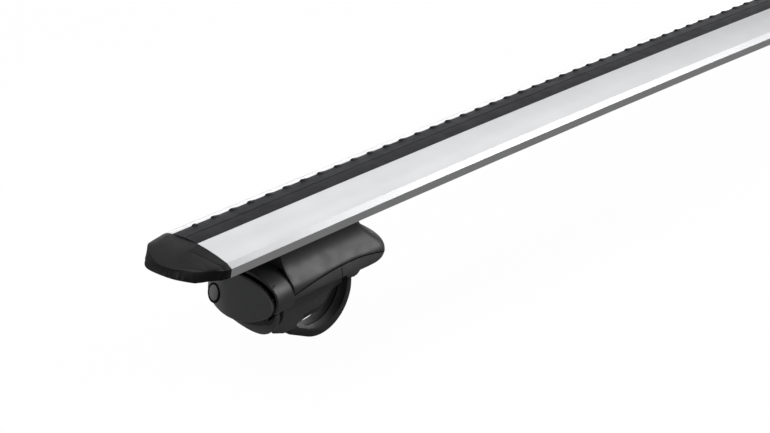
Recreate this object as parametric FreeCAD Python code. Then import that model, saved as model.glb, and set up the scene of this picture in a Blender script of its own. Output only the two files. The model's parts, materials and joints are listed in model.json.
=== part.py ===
"""Roof rack crossbar: an arched wing-profile bar on two feet that clamp round raised roof rails.

Millimetres, +X along the bar, +Y to the leading edge, +Z up.
The origin is at the middle of the box round the part, on the plane that the two straps stand on.
Most pieces are drawn in one of three local frames:
  section frame  y across the bar from the middle of the top strip, z up from the strip's edges
  end frame      the section frame with x measured inwards from the bar's cut end
  foot frame     x inwards from the rail's middle, y from the foot's middle, z up from the bar's underside
and are then placed along the bar's arch.
"""
import FreeCAD
import Part
import math
import os

V = FreeCAD.Vector
X_AXIS = V(1, 0, 0)
Y_AXIS = V(0, 1, 0)
Z_AXIS = V(0, 0, 1)
ORIGIN = V(0, 0, 0)
FAR = 400.0

# bar
BAR_LENGTH = 1113.0
ARCH_RADIUS = 33500.0
BAR_THICKNESS = 22.0
BAR_WALL = 2.0
NOSE_REACH = 29.0
TAIL_BREAK = (-45.85, -6.7)
TAIL_EDGE = (-51.1, -10.15)
TAIL_FOOT = (-49.3, -18.1)
TAIL_UNDER = -37.0
TAIL_FACE_BULGE = 0.75
TAIL_UNDER_BULGE = 0.9
TAIL_RIB_Y = -33.0
TAIL_RIB_WALL = 1.8
RIB_BOTTOM_GAP = 0.0

# slots in the bar
STRIP_WIDTH = 27.7
STRIP_RECESS_DEPTH = 2.3
STRIP_SIDE_GAP = 0.1
SLOT_THROAT = 11.0
SLOT_WIDTH = 20.4
SLOT_LIP = 2.0
TOP_SLOT_DEPTH = 5.8
LOWER_LIP = 2.4
LOWER_SLOT_DEPTH = 6.4
LOWER_SLOT_Y = -8.0
SLOT_WALL = 2.2

# top strip and its ridges
STRIP_CROWN = 0.9
STRIP_GROOVE_WIDTH = 1.0
STRIP_GROOVE_DEPTH = 0.9
STRIP_STEM_GAP = 0.6
STRIP_BARB_REACH = 1.0
STRIP_BARB_DEPTH = 0.8
RIDGE_PITCH = 20.0
RIDGE_FIRST = 41.8
RIDGE_LENGTH = 9.0
RIDGE_WIDTH = 5.0
RIDGE_HEIGHT = 1.3
INFILL_DEPTH = 3.4
INFILL_END_GAP = 3.0

# end cap
CAP_LENGTH = 33.5
CAP_DROP = 8.5
CAP_TAIL_DROP = 2.2
CAP_UNDER_RISE = 4.2
CAP_EDGE_ROUND = 1.6
CAP_WALL = 2.2
CAP_JOINT_GAP = 0.35
CAP_MIDDLE_Y = -6.5
WEDGE_LENGTH = 9.6
WEDGE_TIP_LENGTH = 5.2
WEDGE_INNER_Y = 16.5
PLUG_DEPTH = 24.0
PLUG_GAP = 0.25
FLAP_HINGE_X = -5.0
FLAP_HINGE_Z = -17.0
FLAP_NOSE_R = 4.1
FLAP_PIN_R = 1.25
FLAP_PIN_LENGTH = 34.0
FLAP_KNUCKLE_R = 2.7
FLAP_KNUCKLE_LENGTH = 16.0
FLAP_BRIDGE_REACH = 3.0

# foot placing and outer form
RAIL_FROM_END = 129.5
FOOT_Y = LOWER_SLOT_Y
BAR_PAD_THICKNESS = 1.5
PAD_SAG_ROOM = 0.06
SEAM_X = -58.0
SHELL_FORM = ((-1.5, 22.8, 40.0, 12.0), (-9.0, 23.4, 41.0, 12.0), (-14.0, 25.0, 44.0, 13.0),
              (-19.0, 27.6, 49.6, 15.0), (-23.0, 30.6, 55.2, 17.0), (-27.0, 34.0, 60.0, 19.0),
              (-31.0, 36.9, 62.4, 20.0), (-35.0, 38.0, 62.5, 20.0), (-42.0, 38.0, 62.0, 20.0))
BODY_FORM = ((-27.0, 37.6, 62.0, 20.0), (-36.0, 37.9, 62.2, 20.0), (-41.0, 36.0, 57.5, 19.0),
             (-45.0, 31.0, 51.5, 17.0), (-50.0, 24.8, 46.5, 15.0), (-58.0, 18.0, 44.0, 12.0),
             (-67.0, 14.2, 43.0, 10.0), (-77.0, 12.7, 43.0, 9.0), (-88.0, 12.3, 43.0, 9.0))
SHELL_WALL = 3.2
SHELL_TOP_WALL = 4.5
NECK_WALL = 3.0
NECK_CLOSED_Z = -19.0
SEAM_CREST = (9.0, -29.6)
SEAM_OUT_RADIUS = 303.0
SEAM_IN_RADIUS = 145.0
TRAY_FLOOR_Z = -47.5
COLUMN_FLOOR_Z = -83.4
COLUMN_TOE = ((-46.5, -83.4), (-60.0, -78.6), (-100.0, -78.6), (-100.0, -120.0), (-46.5, -120.0))
COLUMN_HEEL = ((-38.0, -120.0), (-38.0, -87.0), (-36.8, -85.6), (-29.7, -80.2), (-20.0, -78.2), (-20.0, -120.0))

# saddle, rail pad and strap
SADDLE = ((-23.5, -75.2), (-15.7, -74.4), (-5.6, -73.6), (-1.6, -72.2), (2.4, -68.9), (6.4, -64.9),
          (10.2, -61.4), (14.6, -59.4), (19.3, -58.4), (22.7, -57.8))
RAIL_PAD_THICKNESS = 4.6
RAIL_PAD_HALF_WIDTH = 11.6
STRAP_CENTRE = (-1.0, -62.0)
STRAP_OUTER_R = 36.9
STRAP_THICKNESS = 4.0
SLEEVE_SWELL = 1.3
SLEEVE_SHIFT = (-0.5, -1.2)
STRAP_WIDTH = 20.0
STRAP_START = -3.0
STRAP_STRAIGHT = -115.0
STRAP_BAND_THICKNESS = 1.6
STRAP_BAND_WIDTH = 13.0
STRAP_SLIT = (1.3, 1.1, -18.0, -104.0)
SLEEVE_RUN = 22.0
BAND_RUN = 25.0
SLEEVE_STOP_ROOT = ((6.1, 0.4), (5.1, 1.0), (16.0, 5.3))
SLEEVE_STOP_END = ((-33.4, -83.4), (-35.2, -84.8), (-35.2, -86.0))
STRAP_PIVOT = (36.0, -54.5)
STRAP_EYE_R = 6.0
STRAP_EYE_HALF_WIDTH = 6.7
STRAP_PIN_R = 3.0
END_BLOCK_ROOT = ((16.2, 5.5), (5.8, 0.9))
END_BLOCK = ((-38.5, -86.0), (-43.2, -81.0), (-42.0, -74.5), (-36.0, -72.5),
             (-33.0, -76.0))
CHEEK_HALF_WIDTH = 14.5
CHEEK = ((24.0, -48.0), (50.5, -44.0), (49.5, -52.0), (45.5, -55.4), (43.4, -59.0), (40.5, -61.0), (36.5, -61.8),
         (30.5, -60.8), (26.0, -57.0))
RUN_GAP = 0.05

# pull gear
CHASSIS_STEEL = 2.2
CHASSIS_HALF_WIDTH = 9.6
CHASSIS_TOP = (-46.0, 34.0)
CHASSIS_TOP_WALL = 3.0
CHASSIS_FRONT_X = -76.2
CHASSIS_FRONT_WALL = 3.0
CHASSIS_OUTLINE = ((-76.2, -36.0), (-58.0, -30.0), (-46.0, -12.0), (-46.0, -6.0), (34.0, -6.0), (37.5, -14.0),
                   (42.5, -40.0), (42.5, -54.5), (36.0, -61.0), (28.5, -54.5), (28.0, -50.0), (22.0, -44.5), (-24.0, -44.5),
                   (-27.5, -48.0), (-31.0, -62.0), (-34.0, -70.0), (-47.5, -81.6), (-57.0, -79.2), (-59.5, -74.0), (-62.0, -56.0),
                   (-76.2, -52.0))
GEAR_HALF_WIDTH = 10.4
CROSS_PIN = (-38.0, -77.0)
CROSS_PIN_R = 3.0
CROSS_PIN_HALF = 7.1
CROSS_PIN_DRIFT = (1.2, 0.4)
END_BLOCK_HALF_WIDTH = 4.2
CRANK_PIVOT = (-54.0, -75.0)
CRANK_PIN_R = 2.5
CRANK_CHEEKS = (4.6, 7.0)
CRANK_R = 5.4
CRANK_SHORT_R = 4.6
CRANK_SLOT_GAP = 0.4
SCREW_Z = -44.0
SCREW_R = 3.0
SCREW_HEAD = (5.0, 6.0)
SCREW_COLLAR = (4.6, 1.6)
SCREW_END_X = -42.0
HEX_SOCKET = (5.0, 4.0)
NUT_X = -54.0
NUT_R = 5.2
NUT_HALF = 4.2
NUT_STUB_R = 3.0
NUT_STUB_HALF = 7.1
NUT_TRAVEL = 10.0
PLAIN_GAP = 0.3

# clamp bolts and casing screws
BOLT_X = (-18.0, 22.0)
BOLT_R = 3.0
BOLT_HOLE_R = 3.3
T_HEAD = (12.0, 19.0, 4.4)
BOLT_LENGTH = 26.0
NUT_ACROSS = 10.0
NUT_HEIGHT = 5.0
WASHER_R = 6.0
WASHER_HEIGHT = 1.2
CASING_SCREWS = ((-40.0, 15.6), (4.0, 15.6))
CASING_SCREW_R = 1.8
CASING_SCREW_HEAD = (3.3, 2.2)
CASING_SCREW_LENGTH = 16.0
BOSS_R = 3.9

# collar, cover and lock, drawn upright before they are tilted
COVER_CENTRE = (-87.2, -40.7)
COVER_TILT = 13.06
COVER_HALF_WIDTH = 36.3
COVER_HALF_HEIGHT = 17.45
COVER_BOW_RADIUS = 128.0
COVER_THICKNESS = 3.4
COVER_EDGE_ROUND = 1.4
COLLAR_RIM_BACK = 2.2
COLLAR_OPENING = (39.2, 19.6)
COLLAR_OPENING_SHIFT = -0.8
COLLAR_RIM_SIZE = (40.8, 21.3)
COLLAR_SEAM_SIZE = (38.0, 22.5)
COLLAR_SEAM_Z = -39.2
COLLAR_WALL = 2.8
COLLAR_END_Z = -47.5
HINGE_Y = -32.8
HINGE_UP = 1.2
HINGE_DEPTH = 3.6
HINGE_PIN_R = 0.9
HINGE_BARREL_R = 1.7
HINGE_HALF_LENGTH = 4.0
HINGE_PIN_HALF_LENGTH = 6.5
HINGE_NOTCH = 1.4
COVER_ROOM = 0.9
SWING_ROOM = (4.8, 4.1)
HINGE_ARM = (5.0, 7.5)
LOCK_Y = 25.5
LOCK_UP = -3.8
LOCK_R = 6.4
LOCK_RING_R = 8.3
LOCK_RING_PROUD = 0.7
LOCK_PROUD = 0.4
LOCK_LENGTH = 10.0
LOCK_ROOM = 0.8
LOCK_CAM = (3.4, 9.0, 2.0)

# chin, the casing below the cover
CHIN_FORM = ((-62.5, 32.0, 25.0, 34.8), (-70.0, 34.5, 27.5, 30.4), (-80.0, 36.0, 29.0, 22.2), (-90.0, 34.5, 27.5, 10.8))
CHIN_FULLNESS = (0.82, 0.69)
CHIN_LOW_Y = -4.0
CHIN_CENTRE_Z = -44.5
CHIN_SIDE_RISE = 6.0
CHIN_BACK = ((-77.2, -42.0), (-65.6, -77.2))
CHIN_WALL = 2.6
CHIN_COVER_GAP = 0.5
CHIN_SWING_DROP = 14.0

# derived places
BAR_HALF = BAR_LENGTH / 2.0
STRIP_HALF = STRIP_WIDTH / 2.0
RECESS_HALF = STRIP_HALF + STRIP_SIDE_GAP
NOSE_START = STRIP_HALF + 0.3
SLOT_FLOOR_TOP = -(STRIP_RECESS_DEPTH + SLOT_LIP + TOP_SLOT_DEPTH)
LOWER_LIP_Z = -BAR_THICKNESS + LOWER_LIP
LOWER_SLOT_TOP = LOWER_LIP_Z + LOWER_SLOT_DEPTH
RAIL_FROM_MIDDLE = BAR_HALF - RAIL_FROM_END
FOOT_ANGLE = math.degrees(RAIL_FROM_MIDDLE / ARCH_RADIUS)
END_ANGLE = math.degrees(BAR_HALF / ARCH_RADIUS)
COLLAR_BACK_Y = FOOT_Y + 39.9
CENTRE_Y = (TAIL_EDGE[0] + COLLAR_BACK_Y) / 2.0
SLEEVE_CENTRE = (STRAP_CENTRE[0] + SLEEVE_SHIFT[0], STRAP_CENTRE[1] + SLEEVE_SHIFT[1])
SLEEVE_R = STRAP_OUTER_R + SLEEVE_SWELL
SLEEVE_LOW = BAR_THICKNESS - SLEEVE_CENTRE[1]
GROUND_Z = ((ARCH_RADIUS - SLEEVE_LOW) * math.cos(math.radians(FOOT_ANGLE))
            - SLEEVE_CENTRE[0] * math.sin(math.radians(-FOOT_ANGLE)) - ARCH_RADIUS - SLEEVE_R)


def polygon(points, plane="xz", at=0.0):
    """A flat face through the given corners, in the xz, yz or xy plane."""
    if plane == "xz":
        corners = [V(a, at, b) for a, b in points]
    elif plane == "yz":
        corners = [V(at, a, b) for a, b in points]
    else:
        corners = [V(a, b, at) for a, b in points]
    return Part.Face(Part.makePolygon(corners + corners[:1]))


def slab(points, y_low, y_high):
    """A prism with an xz outline, between two y values."""
    return polygon(points, "xz", y_low).extrude(V(0, y_high - y_low, 0))


def block(x0, x1, y0, y1, z0, z1):
    """A box given by its low and high corners."""
    return Part.makeBox(x1 - x0, y1 - y0, z1 - z0, V(x0, y0, z0))


def rod_y(x, z, radius, y0, y1):
    """A cylinder along y."""
    return Part.makeCylinder(radius, y1 - y0, V(x, y0, z), Y_AXIS)


def rod_x(y, z, radius, x0, x1):
    """A cylinder along x."""
    return Part.makeCylinder(radius, x1 - x0, V(x0, y, z), X_AXIS)


def rod_z(x, y, radius, z0, z1):
    """A cylinder along z."""
    return Part.makeCylinder(radius, z1 - z0, V(x, y, z0), Z_AXIS)


def capsule(a, b, radius, y0, y1):
    """A plate with an outline of two round ends joined by straight sides, between two y values."""
    dx, dz = b[0] - a[0], b[1] - a[1]
    length = math.hypot(dx, dz)
    nx, nz = -dz / length * radius, dx / length * radius
    side = [(a[0] + nx, a[1] + nz), (b[0] + nx, b[1] + nz), (b[0] - nx, b[1] - nz), (a[0] - nx, a[1] - nz)]
    plate = slab(side, y0, y1)
    return plate.fuse([rod_y(a[0], a[1], radius, y0, y1), rod_y(b[0], b[1], radius, y0, y1)]).removeSplitter()


def both_sides(shape):
    """The shape and its mirror image across the foot's middle plane."""
    return [shape, shape.mirror(ORIGIN, Y_AXIS)]


def along_arch(shape, angle):
    """Turns a shape about the arch's axis, which carries it along the bar."""
    placed = shape.copy()
    placed.rotate(V(0, 0, -ARCH_RADIUS), Y_AXIS, angle)
    return placed


def to_part(shape):
    """Moves from the arch frame to the part's own frame."""
    placed = shape.copy()
    placed.translate(V(0, -CENTRE_Y, -GROUND_Z))
    return placed


def place_end(shape, side):
    """Puts a shape from the end frame at the left (-1) or right (+1) end."""
    placed = shape.copy()
    if side > 0:
        placed = placed.mirror(ORIGIN, X_AXIS)
    return to_part(along_arch(placed, side * END_ANGLE))


def place_foot(shape, side):
    """Puts a shape from the foot frame under the left (-1) or right (+1) half of the bar."""
    placed = shape.copy()
    if side > 0:
        placed.rotate(ORIGIN, Z_AXIS, 180)
    placed.translate(V(0, FOOT_Y, -BAR_THICKNESS))
    return to_part(along_arch(placed, side * FOOT_ANGLE))


def revolve_along_bar(face, length):
    """Sweeps a section face along the arch over the given length, centred on the bar's middle."""
    angle = math.degrees(length / ARCH_RADIUS)
    start = face.copy()
    start.rotate(V(0, 0, -ARCH_RADIUS), Y_AXIS, -angle / 2.0)
    return start.revolve(V(0, 0, -ARCH_RADIUS), Y_AXIS, angle)


# bar section

def crossing(p, q, r, s):
    """Where the line through p and q meets the line through r and s."""
    d1 = (q[0] - p[0], q[1] - p[1])
    d2 = (s[0] - r[0], s[1] - r[1])
    t = ((r[0] - p[0]) * d2[1] - (r[1] - p[1]) * d2[0]) / (d1[0] * d2[1] - d1[1] * d2[0])
    return p[0] + t * d1[0], p[1] + t * d1[1]


def pulled_in(points, inset):
    """The corners of an open outline after moving each of its lines to its right by the inset."""
    lines = []
    for a, b in zip(points, points[1:]):
        length = math.hypot(b[0] - a[0], b[1] - a[1])
        nx, ny = (b[1] - a[1]) / length * inset, -(b[0] - a[0]) / length * inset
        lines.append(((a[0] + nx, a[1] + ny), (b[0] + nx, b[1] + ny)))
    corners = [lines[0][0]]
    for one, two in zip(lines, lines[1:]):
        corners.append(crossing(one[0], one[1], two[0], two[1]))
    corners.append(lines[-1][1])
    return corners


def arc_between(a, b, bulge):
    """An arc in the yz plane from a to b that swells to the left of its chord."""
    length = math.hypot(b[0] - a[0], b[1] - a[1])
    nx, ny = -(b[1] - a[1]) / length * bulge, (b[0] - a[0]) / length * bulge
    mid = V(0, (a[0] + b[0]) / 2.0 + nx, (a[1] + b[1]) / 2.0 + ny)
    return Part.Arc(V(0, *a), mid, V(0, *b)).toShape()


def outer_section(inset=0.0):
    """The bar's outline: crowned tail face, tail edge, flat underside and half-ellipse nose."""
    corners = [(NOSE_START, -BAR_THICKNESS), (TAIL_UNDER, -BAR_THICKNESS), TAIL_FOOT, TAIL_EDGE, TAIL_BREAK,
               (-NOSE_START, 0), (NOSE_START, 0)]
    under, foot_start, foot_end, edge, face_low, face_high, top = pulled_in(corners, inset)
    half = BAR_THICKNESS / 2.0
    reach = NOSE_REACH - NOSE_START - inset
    centre = V(0, NOSE_START, -half)
    nose = Part.Ellipse(centre + V(0, reach, 0), centre + V(0, 0, half - inset), centre)
    edges = [
        Part.makeLine(V(0, *under), V(0, *foot_start)),
        arc_between(foot_start, foot_end, TAIL_UNDER_BULGE),
        Part.makeLine(V(0, *foot_end), V(0, *edge)),
        Part.makeLine(V(0, *edge), V(0, *face_low)),
        arc_between(face_low, face_high, TAIL_FACE_BULGE),
        Part.makeLine(V(0, *face_high), V(0, *top)),
        Part.ArcOfEllipse(nose, -math.pi / 2, math.pi / 2).toShape(),
    ]
    return Part.Face(Part.Wire(Part.__sortEdges__(edges)))


def rectangle(y0, y1, z0, z1):
    """A flat yz rectangle."""
    return polygon([(y0, z0), (y1, z0), (y1, z1), (y0, z1)], "yz")


def slot_face(middle, mouth, lip_end, floor, extra):
    """A T-slot from its mouth through its lips to its floor, grown all round by an extra amount."""
    throat = SLOT_THROAT / 2.0 + extra
    half = SLOT_WIDTH / 2.0 + extra
    grow = math.copysign(extra, floor - mouth)
    inside = sorted((lip_end - grow, floor + grow))
    neck = sorted((mouth, lip_end + grow))
    wide = rectangle(middle - half, middle + half, *inside)
    return wide.fuse(rectangle(middle - throat, middle + throat, *neck)).removeSplitter()


def top_slot_face(extra=0.0):
    """The strip's recess and the T-slot below it."""
    recess = rectangle(-RECESS_HALF - extra, RECESS_HALF + extra, -STRIP_RECESS_DEPTH - extra, 1)
    slot = slot_face(0, 1, -STRIP_RECESS_DEPTH - SLOT_LIP, SLOT_FLOOR_TOP, extra)
    return recess.fuse(slot).removeSplitter()


def lower_slot_face(extra=0.0):
    """The T-slot in the underside, which takes the foot's bolts."""
    return slot_face(LOWER_SLOT_Y, -BAR_THICKNESS - 1, LOWER_LIP_Z, LOWER_SLOT_TOP, extra)


def chamber_faces(extra=0.0):
    """The hollow chambers: what the walls, both slots and the rib leave."""
    inner = outer_section(BAR_WALL + extra)
    slots = top_slot_face(SLOT_WALL + extra).fuse(lower_slot_face(SLOT_WALL + extra))
    half_rib = TAIL_RIB_WALL / 2.0 + extra
    rib = polygon([(TAIL_RIB_Y - half_rib, -FAR), (TAIL_RIB_Y + half_rib, -FAR),
                   (TAIL_RIB_Y + half_rib, FAR), (TAIL_RIB_Y - half_rib, FAR)], "yz")
    left = inner.cut(slots).cut(rib)
    return [face for face in left.Faces if face.Area > 12.0]


def bar_extrusion():
    """The arched aluminium bar with its two T-slots and its chambers."""
    face = outer_section().cut(top_slot_face()).cut(lower_slot_face())
    for chamber in chamber_faces():
        face = face.cut(chamber)
    return revolve_along_bar(face.Faces[0], BAR_LENGTH)


def strip_section():
    """The rubber strip: crowned top with a middle groove, a stem through the slot's throat and two barbs."""
    floor = -STRIP_RECESS_DEPTH
    lip = floor - SLOT_LIP
    stem = SLOT_THROAT / 2.0 - STRIP_STEM_GAP
    barb = SLOT_THROAT / 2.0 + STRIP_BARB_REACH
    groove = STRIP_GROOVE_WIDTH / 2.0
    top = STRIP_CROWN
    quarter = STRIP_HALF * 0.55
    lines = [(STRIP_HALF, 0), (STRIP_HALF, floor), (stem, floor), (stem, lip - 0.1), (barb, lip - 0.1),
             (stem, lip - STRIP_BARB_DEPTH), (-stem, lip - STRIP_BARB_DEPTH), (-barb, lip - 0.1),
             (-stem, lip - 0.1), (-stem, floor), (-STRIP_HALF, floor), (-STRIP_HALF, 0)]
    edges = [Part.makeLine(V(0, *a), V(0, *b)) for a, b in zip(lines, lines[1:])]
    crown = top * (1 - 0.55 ** 2)
    edges.append(Part.Arc(V(0, -STRIP_HALF, 0), V(0, -quarter, crown), V(0, -groove, top)).toShape())
    edges.append(Part.makeLine(V(0, -groove, top), V(0, 0, top - STRIP_GROOVE_DEPTH)))
    edges.append(Part.makeLine(V(0, 0, top - STRIP_GROOVE_DEPTH), V(0, groove, top)))
    edges.append(Part.Arc(V(0, groove, top), V(0, quarter, crown), V(0, STRIP_HALF, 0)).toShape())
    return Part.Face(Part.Wire(Part.__sortEdges__(edges)))


def ridge(side_x):
    """One wedge of the strip's leading edge: steep towards the near bar end, running out the other way."""
    y1 = STRIP_HALF
    y0 = y1 - RIDGE_WIDTH
    low = -0.6
    start = side_x
    end = side_x + RIDGE_LENGTH
    foot = Part.makePolygon([V(start, y0, low), V(end, y0, low), V(end, y1, low), V(start, y1, low), V(start, y0, low)])
    wedge = Part.Face(foot).extrude(V(0, 0, RIDGE_HEIGHT - low))
    slope = slab([(start + 0.8, RIDGE_HEIGHT), (end + 1, -0.3), (end + 1, FAR), (start + 0.8, FAR)], y0 - 1, y1 + 1)
    edge = slab([(start - 1, low), (start, low), (start + 0.8, RIDGE_HEIGHT + 1), (start - 1, RIDGE_HEIGHT + 1)],
                y0 - 1, y1 + 1)
    inner = polygon([(y0, 0.4), (y0 - 1, 0.4), (y0 - 1, 3), (y1 - 1.2, 3), (y1 - 1.2, RIDGE_HEIGHT)], "yz",
                    start - 1).extrude(V(RIDGE_LENGTH + 2, 0, 0))
    return wedge.cut([slope, edge, inner])


def top_strip():
    """The full-length rubber strip with its row of ridges."""
    strip = revolve_along_bar(strip_section(), BAR_LENGTH)
    count = int((BAR_LENGTH - 2 * RIDGE_FIRST) // RIDGE_PITCH) + 1
    wedges = []
    one = ridge(0.0)
    for i in range(count):
        place = -BAR_HALF + RIDGE_FIRST + i * RIDGE_PITCH
        wedges.append(along_arch(one, math.degrees(place / ARCH_RADIUS)))
    return to_part(strip.fuse(wedges))


def lower_infill():
    """The rubber infill of the lower slot, between the two feet."""
    length = 2 * (RAIL_FROM_MIDDLE - SHELL_FORM[0][2] - INFILL_END_GAP)
    y, half, barb = LOWER_SLOT_Y, SLOT_THROAT / 2.0 - STRIP_STEM_GAP / 2.0, SLOT_THROAT / 2.0 + STRIP_BARB_REACH
    low = -BAR_THICKNESS
    top = low + INFILL_DEPTH
    face = polygon([(y - half, low), (y + half, low), (y + half, LOWER_LIP_Z + 0.1), (y + barb, LOWER_LIP_Z + 0.1),
                    (y + half, top), (y - half, top), (y - barb, LOWER_LIP_Z + 0.1), (y - half, LOWER_LIP_Z + 0.1)],
                   "yz")
    return to_part(revolve_along_bar(face, length))


# end cap, in the end frame: x = 0 at the bar's cut end, outwards is -x

def cap_plan(grow=0.0):
    """The cap seen from above: a bowed end, fuller towards the nose."""
    nose = NOSE_REACH + grow
    tail = TAIL_EDGE[0] - grow
    reach = CAP_LENGTH + grow
    points = []
    steps = 14
    for i in range(steps + 1):
        turn = math.radians(180.0 * i / steps)
        c, s = math.cos(turn), math.sin(turn)
        half = (nose - CAP_MIDDLE_Y) if c > 0 else (CAP_MIDDLE_Y - tail)
        power = 0.93 if c > 0 else 1.08
        points.append(V(-reach * abs(s) ** power, CAP_MIDDLE_Y + half * math.copysign(abs(c) ** 1.0, c), 0))
    curve = Part.BSplineCurve()
    curve.interpolate(points)
    back = 2.0
    close = Part.makePolygon([points[-1], V(back, tail, 0), V(back, nose, 0), points[0]])
    wire = Part.Wire([curve.toShape()] + close.Edges)
    face = Part.Face(wire)
    face.translate(V(0, 0, -FAR / 2))
    return face.extrude(V(0, 0, FAR))


def cap_sections(inset):
    """The bar's outline at the cut end and the lower, shallower outline at the tip of the cap."""
    sections = []
    for x, drop, rise in ((0.0, 0.0, 0.0), (-CAP_LENGTH * 0.5, CAP_DROP * 0.36, CAP_UNDER_RISE * 0.4),
                          (-CAP_LENGTH * 1.05, CAP_DROP, CAP_UNDER_RISE)):
        low = -BAR_THICKNESS + rise + inset
        top = -drop - inset
        half = (top - low) / 2.0
        nose_y = NOSE_START
        reach = NOSE_REACH - NOSE_START - inset
        side = drop / CAP_DROP * CAP_TAIL_DROP
        points = [(nose_y, top), (-NOSE_START, top - side * 0.3),
                  (TAIL_BREAK[0] + inset * 0.6, TAIL_BREAK[1] - inset - side),
                  (TAIL_EDGE[0] + inset, TAIL_EDGE[1] - side), (TAIL_FOOT[0] + inset, TAIL_FOOT[1] + rise),
                  (TAIL_UNDER, low), (nose_y, low)]
        wire = [Part.makeLine(V(x, *a), V(x, *b)) for a, b in zip(points, points[1:])]
        curve = Part.BSplineCurve()
        ring = []
        for i in range(7):
            turn = math.radians(-90 + 30.0 * i)
            ring.append(V(x, nose_y + reach * math.cos(turn), low + half + half * math.sin(turn)))
        curve.interpolate(ring)
        sections.append(Part.Wire(wire + [curve.toShape()]))
    return sections


def cap_solid(inset=0.0):
    """The whole cap as one solid: sections lofted outwards, trimmed to the bowed plan."""
    body = Part.makeLoft(cap_sections(inset), True, True)
    return body.common(cap_plan(-inset))


def base_region(gap):
    """What belongs to the fixed cap base: a wedge at the tail, the floor and the round hinge bed."""
    tail = TAIL_EDGE[0] - 5
    nose = NOSE_REACH + 5
    wedge = polygon([(0, -WEDGE_INNER_Y + gap), (-WEDGE_LENGTH - gap, -WEDGE_INNER_Y + gap),
                     (-WEDGE_TIP_LENGTH - gap, tail), (0, tail)], "xy", FLAP_HINGE_Z).extrude(V(0, 0, 40))
    floor = block(FLAP_HINGE_X, 0, tail, nose, FLAP_HINGE_Z - FLAP_NOSE_R, SLOT_FLOOR_TOP - 0.6 + gap)
    bed = rod_y(FLAP_HINGE_X, FLAP_HINGE_Z, FLAP_NOSE_R + gap, tail, nose)
    return wedge.fuse([floor, bed])


def knuckle_space(gap):
    """The recess in the hinge bed for the flap's knuckle."""
    half = FLAP_KNUCKLE_LENGTH / 2.0 + gap
    low, high = CAP_MIDDLE_Y - half, CAP_MIDDLE_Y + half
    round_part = rod_y(FLAP_HINGE_X, FLAP_HINGE_Z, FLAP_KNUCKLE_R + gap, low, high)
    outer = block(FLAP_HINGE_X - FLAP_NOSE_R - 2, FLAP_HINGE_X, low, high, -BAR_THICKNESS - 1,
                  FLAP_HINGE_Z + FLAP_KNUCKLE_R + gap)
    under = block(FLAP_HINGE_X - 1, FLAP_HINGE_X + FLAP_KNUCKLE_R + gap, low, high, -BAR_THICKNESS - 1, FLAP_HINGE_Z)
    return round_part.fuse([outer, under])


def cap_base():
    """The fixed base: tail shoulder, hinge bed and the prongs that plug into the bar's chambers."""
    base = cap_solid().common(base_region(0.0)).cut(knuckle_space(CAP_JOINT_GAP))
    prongs = []
    for chamber in chamber_faces(PLUG_GAP):
        prong = chamber.copy()
        prong.translate(V(-1.0, 0, 0))
        prongs.append(prong.extrude(V(PLUG_DEPTH + 1.0, 0, 0)))
    above_floor = block(-2, 0, -WEDGE_INNER_Y, FAR, SLOT_FLOOR_TOP - 0.6, FAR)
    base = base.fuse([prong.cut([knuckle_space(CAP_JOINT_GAP), above_floor]) for prong in prongs])
    return base.cut(rod_y(FLAP_HINGE_X, FLAP_HINGE_Z, FLAP_PIN_R, -FAR, FAR))


def cap_flap():
    """The hinged flap: a hollow dome over the end of the bar, with one knuckle on the hinge pin."""
    shell = cap_solid()
    rim = [edge for edge in shell.Edges if is_cap_rim(edge)]
    shell = shell.makeFillet(CAP_EDGE_ROUND, rim)
    shell = shell.cut(cap_solid(CAP_WALL)).cut(base_region(CAP_JOINT_GAP))
    shell = shell.cut(block(-CAP_JOINT_GAP, 5, -FAR, FAR, -FAR, FAR))
    lip_x = FLAP_HINGE_X - FLAP_NOSE_R - 2 * CAP_JOINT_GAP
    shell = shell.cut(block(lip_x, 5, -FAR, FAR, -FAR, FLAP_HINGE_Z))
    half = FLAP_KNUCKLE_LENGTH / 2.0
    low, high = CAP_MIDDLE_Y - half, CAP_MIDDLE_Y + half
    bridge = block(FLAP_HINGE_X - FLAP_NOSE_R - FLAP_BRIDGE_REACH, FLAP_HINGE_X, low, high,
                   FLAP_HINGE_Z - FLAP_KNUCKLE_R, FLAP_HINGE_Z + FLAP_KNUCKLE_R * 0.5)
    foot = block(FLAP_HINGE_X - FLAP_NOSE_R - FLAP_BRIDGE_REACH, lip_x, low, high, -BAR_THICKNESS,
                 FLAP_HINGE_Z).common(cap_solid())
    knuckle = rod_y(FLAP_HINGE_X, FLAP_HINGE_Z, FLAP_KNUCKLE_R, low, high).fuse([bridge, foot])
    flap = shell.fuse(knuckle).cut(rod_y(FLAP_HINGE_X, FLAP_HINGE_Z, FLAP_PIN_R + RUN_GAP, -FAR, FAR))
    return max(flap.Solids, key=lambda solid: solid.Volume)


def is_cap_rim(edge):
    """True for the edges between the cap's top and its bowed end."""
    box = edge.BoundBox
    return box.XMin < -CAP_LENGTH * 0.8 and box.YLength > 25 and box.ZMin > -BAR_THICKNESS * 0.6


def cap_pin():
    half = FLAP_PIN_LENGTH / 2.0
    return rod_y(FLAP_HINGE_X, FLAP_HINGE_Z, FLAP_PIN_R, CAP_MIDDLE_Y - half, CAP_MIDDLE_Y + half)


# foot, in the foot frame

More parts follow.
